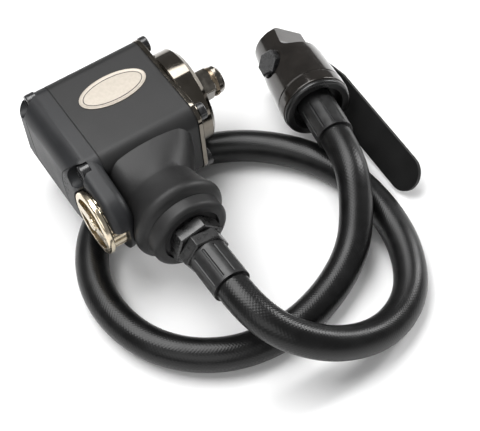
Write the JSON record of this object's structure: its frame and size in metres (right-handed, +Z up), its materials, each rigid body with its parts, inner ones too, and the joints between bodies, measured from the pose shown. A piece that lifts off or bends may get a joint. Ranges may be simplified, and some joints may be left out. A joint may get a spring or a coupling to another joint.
{
  "type": "air impact wrench with whip hose and remote throttle",
  "caption": "Compact air impact wrench head with a square drive, a reversing knob, a rubber whip hose and a remote lever throttle valve.",
  "frame": {"origin": "on the drive axis, at the front face of the nose ring", "axes": "+X along the drive axis towards the socket, -Y towards the hose inlet, +Z up, away from the surface that the tool lies on"},
  "size_m": [0.1749, 0.1893, 0.0632],
  "materials": {
    "housing_black": "satin black composite",
    "cover_black": "satin black composite, slightly bluish",
    "seal_rubber": "matt black rubber",
    "black_nickel": "polished black nickel",
    "anvil_steel": "polished, nickel plated",
    "bronze": "turned bronze",
    "black_steel": "black oxide",
    "badge_champagne": "champagne anodised",
    "knob_nickel": "champagne nickel, die-cast",
    "fitting_black": "black zinc",
    "felt": "sound-deadening felt",
    "hose_rubber": "satin black rubber",
    "valve_gunmetal": "gloss black nickel",
    "lever_black": "matt black powder coat",
    "blade_resin": "phenolic",
    "motor_steel": "ground",
    "bright_steel": "turned"
  },
  "bodies": {
    "tool": {"anvil_bushing": "bronze", "badge": "badge_champagne", "detent_ball": "bright_steel", "detent_spring": "bright_steel", "exhaust_collar": "housing_black", "exhaust_muffler": "felt", "front_bearing": "bright_steel", "front_end_plate": "motor_steel", "front_gasket": "seal_rubber", "front_screw_1": "black_steel", "front_screw_2": "black_steel", "front_screw_3": "black_steel", "front_screw_4": "black_steel", "hammer_case": "black_nickel", "hose": "hose_rubber", "housing": "housing_black", "inlet_bushing": "fitting_black", "inlet_ferrule": "fitting_black", "inlet_screen": "bronze", "lever_pin": "bright_steel", "motor_cylinder": "motor_steel", "rear_bearing": "bright_steel", "rear_cover": "cover_black", "rear_end_plate": "motor_steel", "rear_gasket": "seal_rubber", "rear_screw_1": "black_steel", "rear_screw_2": "black_steel", "rear_screw_3": "black_steel", "rear_screw_4": "black_steel", "stem_guide": "bronze", "swivel_nut": "fitting_black", "valve_body": "valve_gunmetal", "valve_collar": "valve_gunmetal", "valve_end_cap": "seal_rubber", "valve_ferrule": "fitting_black", "valve_plug": "black_steel", "valve_spring": "bright_steel"},
    "anvil": {"anvil": "anvil_steel", "socket_ring": "bronze"},
    "rotor": {"rotor": "bright_steel", "cage_rear_plate": "bright_steel", "cage_front_plate": "bright_steel", "pivot_pin": "bright_steel", "stop_pin": "bright_steel", "rotor_blade_1": "blade_resin", "rotor_blade_2": "blade_resin", "rotor_blade_3": "blade_resin", "rotor_blade_4": "blade_resin", "rotor_blade_5": "blade_resin", "rotor_blade_6": "blade_resin"},
    "hammer_dog": {"hammer_dog": "bright_steel"},
    "reverser": {"reverse_knob": "knob_nickel", "reverse_valve": "bronze", "knob_screw": "black_steel"},
    "lever": {"throttle_lever": "lever_black"},
    "poppet": {"throttle_poppet": "bright_steel"}
  },
  "joints": [
    {"name": "anvil_spin", "type": "hinge", "parent": "tool", "child": "anvil", "pos_m": [0, 0, 0], "axis": [1, 0, 0], "continuous": true},
    {"name": "rotor_spin", "type": "hinge", "parent": "tool", "child": "rotor", "pos_m": [-0.045, 0, 0], "axis": [1, 0, 0], "continuous": true},
    {"name": "dog_rock", "type": "hinge", "parent": "rotor", "child": "hammer_dog", "pos_m": [-0.021, 0, 0.012], "axis": [1, 0, 0], "range_deg": [-4, 4]},
    {"name": "reverse_turn", "type": "hinge", "parent": "tool", "child": "reverser", "pos_m": [-0.073, -0.041, 0], "axis": [1, 0, 0], "range_deg": [-40, 40]},
    {"name": "lever_squeeze", "type": "hinge", "parent": "tool", "child": "lever", "pos_m": [0.069, 0.00051, -0.02333], "axis": [-0.5947, 0.0592, -0.8018], "range_deg": [0, 5.5], "stiffness_Nm_per_rad": 0.35, "springref_deg": -5.73},
    {"name": "poppet_lift", "type": "slide", "parent": "tool", "child": "poppet", "axis": [-0.7803, 0.1979, 0.5933], "range_m": [0, 0.000932]}
  ],
  "couplings": [
    {"joint": "poppet_lift", "follows": "lever_squeeze", "m_per_rad": 0.0095}
  ]
}
